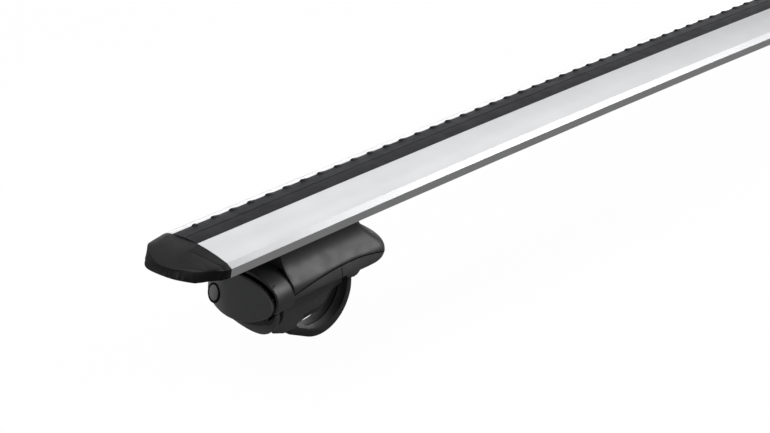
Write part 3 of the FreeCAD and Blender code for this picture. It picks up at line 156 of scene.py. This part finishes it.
# skirt on the body's side: lower edge as x and z with a short tick gap, and how far the bands stand proud
# at their upper and lower edges
SKIRT_LINE = (
    (-0.0580, -0.0486), (-0.0505, -0.0444), (-0.0436, -0.0420), (-0.0367, -0.0412), (-0.0274, -0.0406),
    (-0.0158, -0.0402), (-0.0052, -0.0402), (-0.0044, -0.0402), (0.0060, -0.0414), (0.0160, -0.0436),
    (0.0260, -0.0456), (0.0360, -0.0464), (0.0460, -0.0454), (0.0540, -0.0434), (0.0630, -0.0400),
)
TICK_LIMIT = 0.001
SKIRT_PROUD = (0.0003, 0.0018)
SKIRT_WALL = 0.0018
# painted shade: how far the black strip that stands for the shadow in the parting line stands proud, and its
# wall
SEAM_SHADOW_PROUD = (0.0003, 0.0003)
SEAM_SHADOW_WALL = 0.0008

# the body's outer side: the turning point of its outward direction, the column inside it, and the limits by
# which level faces and end faces are told from it
SIDE_TURN = 0.030
COLUMN_HALF = 0.022
COLUMN_END = 0.040
LEVEL_FACE = 0.93
OUTWARD_FACE = 0.25

# saddle below the skirt: how far it is set in, the half width kept, and where that fades in
SADDLE_SINK = 0.0055
SADDLE_FROM = 0.014
SADDLE_KEEP = 0.013
SADDLE_FADE = 0.004
SADDLE_ALONG = (-0.056, -0.044)

# chin: upper and lower end of its back rim as x and z, and how far that rim is carried on
CHIN_BACK = ((-0.0772, -0.0420), (-0.0656, -0.0772))
CHIN_RIM = 0.0002
CHIN_REACH = 0.0022
CHIN_TOE_SHARE = 0.9
CHIN_TOE = (-0.062, -0.074)
CHIN_DROP = 0.0017
CHIN_DROP_UP = (-0.048, -0.066)
# painted shade: depth and growth of the black band that stands for the shadow in the slot behind the chin
CHIN_SHADE_DEPTH = 0.0042
CHIN_SHADE_GROWTH = (1, 1.008, 1.004)

# strap's sleeve: where its far end starts, how far that end is carried up, and where this fades in
SLEEVE_END = 0.025
SLEEVE_LIFT = 0.0045
SLEEVE_UP = (-0.072, -0.062)

# cap flap: moves of its tip, its lower edge and its top, and the spans along and up in which they fade in
CAP_LENGTH = 0.0335
CAP_MIDDLE = -0.0085
CAP_REACH = 0.0024
CAP_REACH_ALONG = (0.006, 0.034)
CAP_UNDER = (-0.009, -0.018)
CAP_LIFT = 0.0016
CAP_LIFT_ALONG = (0.007, 0.018)
CAP_TIP_LIFT = 0.0008
CAP_TIP_ALONG = (0.020, 0.034)
CAP_SLOPE = 0.0085
CAP_TOP = (-0.008, -0.001)
CAP_TOP_INSET = 0.11
CAP_TOP_ALONG = (0.25 * CAP_LENGTH, CAP_LENGTH)
CAP_TOP_DROP = 0.0008
CAP_DROP_ALONG = (0.010, 0.030)


# materials

def new_material(name):
    material = bpy.data.materials.new(name)
    material.use_nodes = True
    return material, material.node_tree, material.node_tree.nodes["Principled BSDF"]


def noise(tree, coords, scale, detail, stretch=(1, 1, 1)):
    mapping = tree.nodes.new("ShaderNodeMapping")
    mapping.inputs["Scale"].default_value = stretch
    tree.links.new(coords.outputs["Object"], mapping.inputs["Vector"])
    texture = tree.nodes.new("ShaderNodeTexNoise")
    texture.inputs["Scale"].default_value = scale
    texture.inputs["Detail"].default_value = detail
    tree.links.new(mapping.outputs["Vector"], texture.inputs["Vector"])
    return texture.outputs["Fac"]


def spread(tree, fac, low, high):
    """Turns the noise into values between low and high."""
    node = tree.nodes.new("ShaderNodeMapRange")
    node.inputs["From Min"].default_value = NOISE_LOW
    node.inputs["From Max"].default_value = NOISE_HIGH
    node.inputs["To Min"].default_value = low
    node.inputs["To Max"].default_value = high
    tree.links.new(fac, node.inputs["Value"])
    return node.outputs["Result"]


def blend_colours(tree, fac, one, two):
    node = tree.nodes.new("ShaderNodeValToRGB")
    for stop, position, colour in zip(node.color_ramp.elements, (NOISE_LOW, NOISE_HIGH), (one, two)):
        stop.position = position
        stop.color = (*colour, 1)
    tree.links.new(fac, node.inputs["Fac"])
    return node.outputs["Color"]


def grain_bump(tree, fac, depth):
    node = tree.nodes.new("ShaderNodeBump")
    node.inputs["Strength"].default_value = GRAIN_STRENGTH
    node.inputs["Distance"].default_value = depth
    tree.links.new(fac, node.inputs["Height"])
    return node.outputs["Normal"]


def surface(name, one, two, rough, grain=1400.0, depth=0.00003, metal=0.0, stretch=(1, 1, 1), blotch=28.0,
            sheen=0.5):
    """A surface with a slow colour drift, an uneven gloss and a fine grain."""
    material, tree, shader = new_material(name)
    coords = tree.nodes.new("ShaderNodeTexCoord")
    drift = noise(tree, coords, blotch, detail=2.0)
    fine = noise(tree, coords, grain, detail=4.0, stretch=stretch)
    uneven = noise(tree, coords, blotch * 3, detail=3.0, stretch=stretch)
    tree.links.new(blend_colours(tree, drift, one, two), shader.inputs["Base Color"])
    tree.links.new(spread(tree, uneven, *rough), shader.inputs["Roughness"])
    tree.links.new(grain_bump(tree, fine, depth), shader.inputs["Normal"])
    shader.inputs["Metallic"].default_value = metal
    shader.inputs["Specular IOR Level"].default_value = sheen
    return material


looks = {
    "silver": surface("satin_aluminium", (0.61, 0.613, 0.62), (0.65, 0.652, 0.66), (0.30, 0.38),
                      grain=900.0, depth=0.00001, metal=0.95, stretch=(0.03, 1, 1)),
    "strip_rubber": surface("strip_rubber", (0.012, 0.012, 0.014), (0.020, 0.020, 0.023), (0.52, 0.64),
                            grain=2200.0, sheen=0.10),
    "cap_black": surface("cap_plastic", (0.007, 0.007, 0.008), (0.011, 0.011, 0.012), (0.44, 0.54),
                         grain=2600.0, depth=0.00004, sheen=0.16),
    "casing_black": surface("casing_plastic", (0.040, 0.040, 0.042), (0.052, 0.052, 0.054), (0.38, 0.48),
                            grain=2600.0, depth=0.00004),
    "casting_black": surface("body_plastic", (0.080, 0.080, 0.082), (0.096, 0.096, 0.098), (0.44, 0.54),
                             grain=2300.0, depth=0.00005),
    "cover_grey": surface("cover_plastic", (0.200, 0.201, 0.204), (0.225, 0.226, 0.230), (0.40, 0.48),
                          grain=2400.0),
    # near-black plastic of the lock's ring, also used for the black pieces of painted shade behind the chin
    # and in the parting line
    "ring_black": surface("ring_and_shade_black", (0.004, 0.004, 0.005), (0.007, 0.007, 0.008), (0.45, 0.55),
                          sheen=0.08),
    "pad_rubber": surface("pad_rubber", (0.030, 0.030, 0.032), (0.042, 0.042, 0.044), (0.58, 0.70),
                          grain=1800.0, depth=0.00005),
    "strap_rubber": surface("strap_rubber", (0.034, 0.034, 0.036), (0.045, 0.045, 0.047), (0.5, 0.6),
                            grain=1800.0, depth=0.00004, sheen=0.35),
    "steel": surface("zinc_steel", (0.46, 0.46, 0.47), (0.60, 0.60, 0.60), (0.28, 0.42),
                     grain=1500.0, depth=0.00002, metal=1.0),
    "dark_steel": surface("coated_steel", (0.020, 0.020, 0.022), (0.032, 0.032, 0.034), (0.40, 0.52),
                          grain=1600.0),
}
slot_of = {part["node"]: part["material_slot"] for part in frame["record"]["subparts"]}
bodies = frame["record"]["behaviour"]["bodies"]
body_of = {node: body for body, members in bodies.items() for node in members}
for node, slot in slot_of.items():
    for entry in nodes[node].material_slots:
        entry.material = looks[slot]


# meshes and pieces

def merged(node):
    """The node's surface as one connected mesh, with its flat areas joined into single faces."""
    shape = bmesh.new()
    shape.from_mesh(nodes[node].data)
    bmesh.ops.remove_doubles(shape, verts=shape.verts, dist=MERGE_DISTANCE)
    bmesh.ops.dissolve_limit(shape, angle_limit=math.radians(FLAT_ANGLE), verts=shape.verts,
                             edges=shape.edges, use_dissolve_boundaries=False)
    bmesh.ops.recalc_face_normals(shape, faces=shape.faces)
    return shape


def rounded(shape, width, angle=SHARP_ANGLE):
    """Rounds every edge that is sharper than the angle."""
    limit = math.radians(angle)
    sharp = [e for e in shape.edges if len(e.link_faces) == 2 and e.calc_face_angle(0.0) > limit]
    bmesh.ops.bevel(shape, geom=sharp, offset=width, offset_type="OFFSET", segments=2, profile=0.5,
                    affect="EDGES", clamp_overlap=True, material=-1)


def cut_away(shape, point, across):
    """Cuts off what lies beyond a plane."""
    geom = list(shape.verts) + list(shape.edges) + list(shape.faces)
    bmesh.ops.bisect_plane(shape, geom=geom, dist=CUT_DISTANCE, plane_co=point, plane_no=across,
                           clear_outer=True)


def finish_piece(shape, name, body, slot, node=None):
    mesh = bpy.data.meshes.new(name)
    shape.to_mesh(mesh)
    shape.free()
    piece = bpy.data.objects.new(name, mesh)
    bpy.context.scene.collection.objects.link(piece)
    mesh.materials.append(looks[slot])
    mesh.shade_smooth()
    mesh.set_sharp_from_angle(angle=math.radians(SMOOTH_ANGLE))
    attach(piece, body)
    if node:
        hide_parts(node)


def finer(side, word, place=None, change=None):
    """A CAD piece with rounded edges, its points first moved a little in the frame of its own part."""
    node = side + "_" + word
    shape = merged(node)
    if change:
        shape.transform(place.inverted())
        change(shape)
        shape.transform(place)
    rounded(shape, ROUNDING[word])
    finish_piece(shape, node + "_fine", body_of[node], slot_of[node], node)


def smooth_step(span, value):
    """0 before the span, 1 after it, and a smooth rise between."""
    low, high = span
    share = min(max((value - low) / (high - low), 0.0), 1.0)
    return share * share * (3 - 2 * share)


# the frames of feet, covers and caps

def along_arch(turn):
    """The place on the bar's top line at an angle along its arch."""
    return (Matrix.Translation(CREST - Vector((0, 0, ARCH_RADIUS))) @ Matrix.Rotation(turn, 4, "Y")
            @ Matrix.Translation((0, 0, ARCH_RADIUS)))


def foot_place(side):
    facing, turned = (1, 0.0) if side == "left" else (-1, math.pi)
    return along_arch(-facing * FOOT_TURN) @ Matrix.Translation(FOOT_DROP) @ Matrix.Rotation(turned, 4, "Z")


def cover_place(side):
    return foot_place(side) @ Matrix.Translation(COVER_AT) @ Matrix.Rotation(COVER_TILT, 4, "Y")


def end_place(side):
    facing = 1 if side == "left" else -1
    return along_arch(-facing * END_TURN) @ Matrix.Scale(facing, 4, (1, 0, 0))


# small changes of form

def taller_cover(shape):
    """Brings the cover's upper edge close to the collar, except at its hinge, and its lower edge less so."""
    for vert in shape.verts:
        if vert.co.z > 0:
            share = smooth_step(COVER_TALLER_ACROSS, vert.co.y) * smooth_step(COVER_TALLER_UP, vert.co.z)
            vert.co.z *= 1 + COVER_TALLER * share
        else:
            across = smooth_step(COVER_DEEPER_ACROSS, vert.co.y)
            vert.co.z *= 1 + COVER_DEEPER * across * (vert.co.z / COVER_HALF_HEIGHT) ** 2


def closed_collar(shape):
    """Closes the drill hole of the cover's pin in the collar's outer wall."""
    rim = [v for v in shape.verts if v.co.z > PIN_HOLE_INNER
           and math.hypot(v.co.x - PIN_HOLE_AT[0], v.co.y - PIN_HOLE_AT[1]) < PIN_HOLE_RADIUS]
    outer = [v for v in rim if v.co.z > PIN_HOLE_OUTER]
    inner = [v for v in rim if v.co.z <= PIN_HOLE_OUTER]
    for ring in (outer, inner):
        centre = sum((v.co for v in ring), Vector()) / len(ring)
        bmesh.ops.pointmerge(shape, verts=ring, merge_co=centre)
    bmesh.ops.dissolve_degenerate(shape, dist=WELD_DISTANCE, edges=shape.edges)


def rounder_cap(shape):
    """Brings the flap's tip further out, lifts its lower edge, and lets its top fall in towards the tip."""
    for vert in shape.verts:
        vert.co.x -= CAP_REACH * smooth_step(CAP_REACH_ALONG, -vert.co.x)
        under = smooth_step(CAP_UNDER, vert.co.z)
        vert.co.z += under * (CAP_LIFT * smooth_step(CAP_LIFT_ALONG, -vert.co.x)
                              + CAP_TIP_LIFT * smooth_step(CAP_TIP_ALONG, -vert.co.x))
        top = smooth_step(CAP_TOP, vert.co.z + CAP_SLOPE * (vert.co.x / CAP_LENGTH) ** 2)
        inset = CAP_TOP_INSET * top * smooth_step(CAP_TOP_ALONG, -vert.co.x)
        vert.co.x *= 1 - inset
        vert.co.y = CAP_MIDDLE + (vert.co.y - CAP_MIDDLE) * (1 - inset)
        vert.co.z -= CAP_TOP_DROP * (1 - under) * smooth_step(CAP_DROP_ALONG, -vert.co.x)


def sunk_saddle(shape):
    """Sets the body's sides in below the skirt, so that the skirt's edge stands free."""
    for vert in shape.verts:
        x, y, z = vert.co
        low = line_height(x)
        if low is not None and abs(y) > SADDLE_FROM:
            share = smooth_step((low, low - SADDLE_FADE), z) * smooth_step(SADDLE_ALONG, x)
            vert.co.y -= math.copysign(min(SADDLE_SINK, abs(y) - SADDLE_KEEP), y) * share


def chin_back():
    """A point of the chin's back rim and the direction square to it, towards the column."""
    (x0, z0), (x1, z1) = CHIN_BACK
    return Vector((x0, 0, z0)), Vector((z0 - z1, 0, x1 - x0)).normalized()


def longer_chin(shape):
    """Carries the chin's back rim on towards the column and its toe down."""
    start, across = chin_back()
    for vert in shape.verts:
        level = Vector((vert.co.x, 0, vert.co.z))
        if abs((level - start).dot(across)) < CHIN_RIM:
            vert.co += across * CHIN_REACH * (1 + CHIN_TOE_SHARE * smooth_step(CHIN_TOE, vert.co.z))
        vert.co.z -= CHIN_DROP * smooth_step(CHIN_DROP_UP, vert.co.z)


def longer_sleeve(shape):
    """Carries the sleeve's upper end up into the pivot cheeks."""
    for vert in shape.verts:
        if vert.co.x > SLEEVE_END:
            vert.co.z += SLEEVE_LIFT * smooth_step(SLEEVE_UP, vert.co.z)


# pieces that the CAD frame leaves out

def painted_chin_shade(side):
    """Painted shade for the slot behind the chin: a black band of the chin's own section, set back from the
    rim, that stands for the shadow in the slot.
    """
    shape = merged(side + "_chin")
    place = foot_place(side)
    shape.transform(place.inverted())
    start, across = chin_back()
    cut_away(shape, start - across * CHIN_SHADE_DEPTH, -across)
    bmesh.ops.translate(shape, verts=shape.verts, vec=across * (CHIN_REACH + CHIN_SHADE_DEPTH))
    bmesh.ops.scale(shape, verts=shape.verts, vec=CHIN_SHADE_GROWTH)
    bmesh.ops.holes_fill(shape, edges=[e for e in shape.edges if e.is_boundary])
    shape.transform(place)
    finish_piece(shape, side + "_painted_chin_shade", "root", "ring_black")


def lock_face(side):
    """The slightly domed face of the lock."""
    shape = bmesh.new()
    bmesh.ops.create_uvsphere(shape, u_segments=LOCK_FACETS[0], v_segments=LOCK_FACETS[1], radius=1.0)
    bmesh.ops.scale(shape, verts=shape.verts, vec=(LOCK_RADIUS, LOCK_RADIUS, LOCK_DOME))
    shape.transform(cover_place(side) @ Matrix.Translation((COVER_BOW, 0, 0))
                    @ Matrix.Rotation(-math.asin(LOCK_SIDE / COVER_BOW), 4, "Z")
                    @ Matrix.Translation((-COVER_BOW - LOCK_PROUD, 0, LOCK_UP))
                    @ Matrix.Rotation(math.pi / 2, 4, "Y"))
    finish_piece(shape, side + "_lock_face", side + "_lock", "cover_grey")


def fin_row():
    """The row of short blunt fins along the strip's leading edge."""
    shape = bmesh.new()
    length, width, height = FIN_SIZE
    for i in range(FIN_COUNT):
        made = bmesh.ops.create_cube(shape, size=1.0)["verts"]
        for vert in made:
            if vert.co.z > 0:
                vert.co.x = vert.co.x * FIN_TOP[0] + FIN_LEAN[0]
                vert.co.y = vert.co.y * FIN_TOP[1] + FIN_LEAN[1]
        bmesh.ops.scale(shape, verts=made, vec=FIN_SIZE)
        bmesh.ops.translate(shape, verts=made, vec=(0, STRIP_EDGE - width / 2, height / 2 - FIN_SINK))
        along = FIN_FIRST + i * FIN_PITCH - BAR_HALF
        bmesh.ops.transform(shape, matrix=along_arch(along / ARCH_RADIUS), verts=made)
    rounded(shape, ROUNDING["strip_fins"])
    finish_piece(shape, "strip_fins", "root", "strip_rubber")


def seam_height(x):
    """The height of the parting line between hood and body."""
    crest_x, crest_z = SEAM_CREST
    radius = SEAM_OUTER_RADIUS if x < crest_x else SEAM_INNER_RADIUS
    return crest_z - (x - crest_x) ** 2 / (2 * radius)


def line_height(x):
    """The height of the skirt's lower edge, or nothing beside it."""
    for (x0, z0), (x1, z1) in zip(SKIRT_LINE, SKIRT_LINE[1:]):
        if x0 <= x <= x1:
            return z0 + (z1 - z0) * (x - x0) / (x1 - x0)
    return None


def outward(point):
    """The level direction out of the foot's side, turning round its inboard end."""
    return Vector((max(point.x - SIDE_TURN, 0.0), point.y, 0)).normalized()


def on_side(face):
    """Whether a face of the cut body belongs to its outer side."""
    middle = face.calc_center_median()
    in_column = abs(middle.y) < COLUMN_HALF and middle.x < COLUMN_END
    level = abs(face.normal.z) > LEVEL_FACE
    return not in_column and not level and face.normal.dot(outward(middle)) >= OUTWARD_FACE


def side_slice(side, x0, x1, bottom, top):
    """The body's outer side between two lengths, above a bottom line and below a top line."""
    shape = merged(side + "_body")
    shape.transform(foot_place(side).inverted())
    cut_away(shape, (x0, 0, 0), (-1, 0, 0))
    cut_away(shape, (x1, 0, 0), (1, 0, 0))
    cut_away(shape, (x0, 0, bottom[0]), Vector((bottom[1] - bottom[0], 0, x0 - x1)).normalized())
    cut_away(shape, (x0, 0, top[0]), Vector((top[0] - top[1], 0, x1 - x0)).normalized())
    bmesh.ops.delete(shape, geom=[f for f in shape.faces if not on_side(f)], context="FACES")
    return shape


def side_band(side, word, slot, top_gap, deep, proud, wall):
    """A band lifted off the body's side, from the parting line to a given depth or to the skirt's edge."""
    band = bmesh.new()
    for (x0, _), (x1, _) in zip(SKIRT_LINE, SKIRT_LINE[1:]):
        if deep is None and x1 - x0 < TICK_LIMIT:
            continue
        top = (seam_height(x0) - top_gap, seam_height(x1) - top_gap)
        bottom = (top[0] - deep, top[1] - deep) if deep else (line_height(x0), line_height(x1))
        part = side_slice(side, x0, x1, bottom, top)
        mesh = bpy.data.meshes.new("slice")
        part.to_mesh(mesh)
        part.free()
        band.from_mesh(mesh)
        bpy.data.meshes.remove(mesh)
    bmesh.ops.remove_doubles(band, verts=band.verts, dist=WELD_DISTANCE)
    for vert in band.verts:
        low = line_height(vert.co.x) or SKIRT_LINE[-1][1]
        share = smooth_step((seam_height(vert.co.x), low), vert.co.z)
        vert.co += outward(vert.co) * (proud[0] + (proud[1] - proud[0]) * share)
    bmesh.ops.recalc_face_normals(band, faces=band.faces)
    if sum(f.normal.dot(outward(f.calc_center_median())) for f in band.faces) < 0:
        bmesh.ops.reverse_faces(band, faces=band.faces)
    bmesh.ops.solidify(band, geom=list(band.faces), thickness=wall)
    band.transform(foot_place(side))
    rounded(band, ROUNDING[word], BAND_SHARP_ANGLE)
    finish_piece(band, side + "_" + word, "root", slot)


for side in SIDES:
    for word in ("shell", "cap_base", "rail_pad", "lock_ring", "lock_barrel"):
        finer(side, word)
    finer(side, "oval_cover", cover_place(side), taller_cover)
    finer(side, "cap_flap", end_place(side), rounder_cap)
    finer(side, "body", foot_place(side), sunk_saddle)
    finer(side, "chin", foot_place(side), longer_chin)
    # painted shade: a black band stands for the shadow in the slot behind the chin
    painted_chin_shade(side)
    finer(side, "strap_sleeve", foot_place(side), longer_sleeve)
    finer(side, "collar", cover_place(side), closed_collar)
    lock_face(side)
    side_band(side, "skirt", "casting_black", SEAM_GROOVE, None, SKIRT_PROUD, SKIRT_WALL)
    # painted shade: a black strip along the parting line stands for the shadow in its groove
    side_band(side, "seam_shadow_strip", "ring_black", 0.0, SEAM_GROOVE, SEAM_SHADOW_PROUD, SEAM_SHADOW_WALL)
fin_row()


# floor, world, lamps and camera

def white_share(tree, path, gloss):
    """How much plain white a ray sees: nearly all for the camera, a share for gloss and glass, else none."""
    share = None
    for ray, amount in (("Is Camera Ray", WHITE_SEEN), ("Is Glossy Ray", gloss),
                        ("Is Transmission Ray", gloss)):
        step = tree.nodes.new("ShaderNodeMath")
        step.operation = "MULTIPLY_ADD"
        step.inputs[1].default_value = amount
        step.inputs[2].default_value = 0.0
        tree.links.new(path.outputs[ray], step.inputs[0])
        if share is not None:
            tree.links.new(share, step.inputs[2])
        share = step.outputs["Value"]
    return share


def mixed(tree, share, plain, white):
    node = tree.nodes.new("ShaderNodeMixShader")
    tree.links.new(share, node.inputs["Fac"])
    tree.links.new(plain, node.inputs[1])
    tree.links.new(white, node.inputs[2])
    return node.outputs["Shader"]


def backdrop_material():
    """White to the camera with a soft shadow on it, and a plain grey studio floor to the light."""
    material, tree, seen_floor = new_material("pale_floor")
    seen_floor.inputs["Base Color"].default_value = (FLOOR_PAINT, FLOOR_PAINT, FLOOR_PAINT, 1)
    seen_floor.inputs["Roughness"].default_value = FLOOR_ROUGH
    lit_floor = tree.nodes.new("ShaderNodeBsdfDiffuse")
    lit_floor.inputs["Color"].default_value = (FLOOR_BOUNCE, FLOOR_BOUNCE, FLOOR_BOUNCE, 1)
    white = tree.nodes.new("ShaderNodeEmission")
    path = tree.nodes.new("ShaderNodeLightPath")
    floor = mixed(tree, path.outputs["Is Camera Ray"], lit_floor.outputs["BSDF"], seen_floor.outputs["BSDF"])
    whole = mixed(tree, white_share(tree, path, FLOOR_GLOSS), floor, white.outputs["Emission"])
    tree.links.new(whole, tree.nodes["Material Output"].inputs["Surface"])
    return material


def make_floor():
    shape = bmesh.new()
    bmesh.ops.create_grid(shape, x_segments=1, y_segments=1, size=FLOOR_HALF)
    mesh = bpy.data.meshes.new("floor")
    shape.to_mesh(mesh)
    shape.free()
    floor = bpy.data.objects.new("floor", mesh)
    bpy.context.scene.collection.objects.link(floor)
    mesh.materials.append(backdrop_material())


def make_world():
    world = bpy.data.worlds.new("studio")
    bpy.context.scene.world = world
    world.use_nodes = True
    tree = world.node_tree
    plain = tree.nodes["Background"]
    plain.inputs["Color"].default_value = SKY_COLOUR
    plain.inputs["Strength"].default_value = SKY_LEVEL
    white = tree.nodes.new("ShaderNodeBackground")
    white.inputs["Color"].default_value = (1, 1, 1, 1)
    white.inputs["Strength"].default_value = 1.0
    share = white_share(tree, tree.nodes.new("ShaderNodeLightPath"), SKY_GLOSS)
    whole = mixed(tree, share, plain.outputs["Background"], white.outputs["Background"])
    tree.links.new(whole, tree.nodes["World Output"].inputs["Surface"])


def soft_box(name, at, aim, size, power):
    lamp = bpy.data.lights.new(name, "AREA")
    lamp.shape = "RECTANGLE"
    lamp.size, lamp.size_y = size
    lamp.energy = power
    holder = bpy.data.objects.new(name, lamp)
    holder.location = at
    holder.rotation_euler = (Vector(aim) - Vector(at)).to_track_quat("-Z", "Y").to_euler()
    bpy.context.scene.collection.objects.link(holder)


def make_camera():
    down, heading = CAMERA_DOWN, CAMERA_HEADING
    ahead = Vector((math.cos(down) * math.cos(heading), math.cos(down) * math.sin(heading), -math.sin(down)))
    right = Vector((math.sin(heading), -math.cos(heading), 0))
    up = right.cross(ahead)
    camera = bpy.data.cameras.new("camera")
    camera.lens = CAMERA_LENS
    camera.sensor_width = CAMERA_SENSOR
    camera.sensor_fit = "HORIZONTAL"
    camera.clip_end = CAMERA_FAR
    holder = bpy.data.objects.new("camera", camera)
    holder.matrix_world = Matrix.Translation(CAMERA_AT) @ Matrix((right, up, -ahead)).transposed().to_4x4()
    bpy.context.scene.collection.objects.link(holder)
    bpy.context.scene.camera = holder


make_floor()
make_world()
for lamp_row in LAMPS:
    soft_box(*lamp_row)
make_camera()
bpy.context.scene.view_settings.view_transform = "Standard"
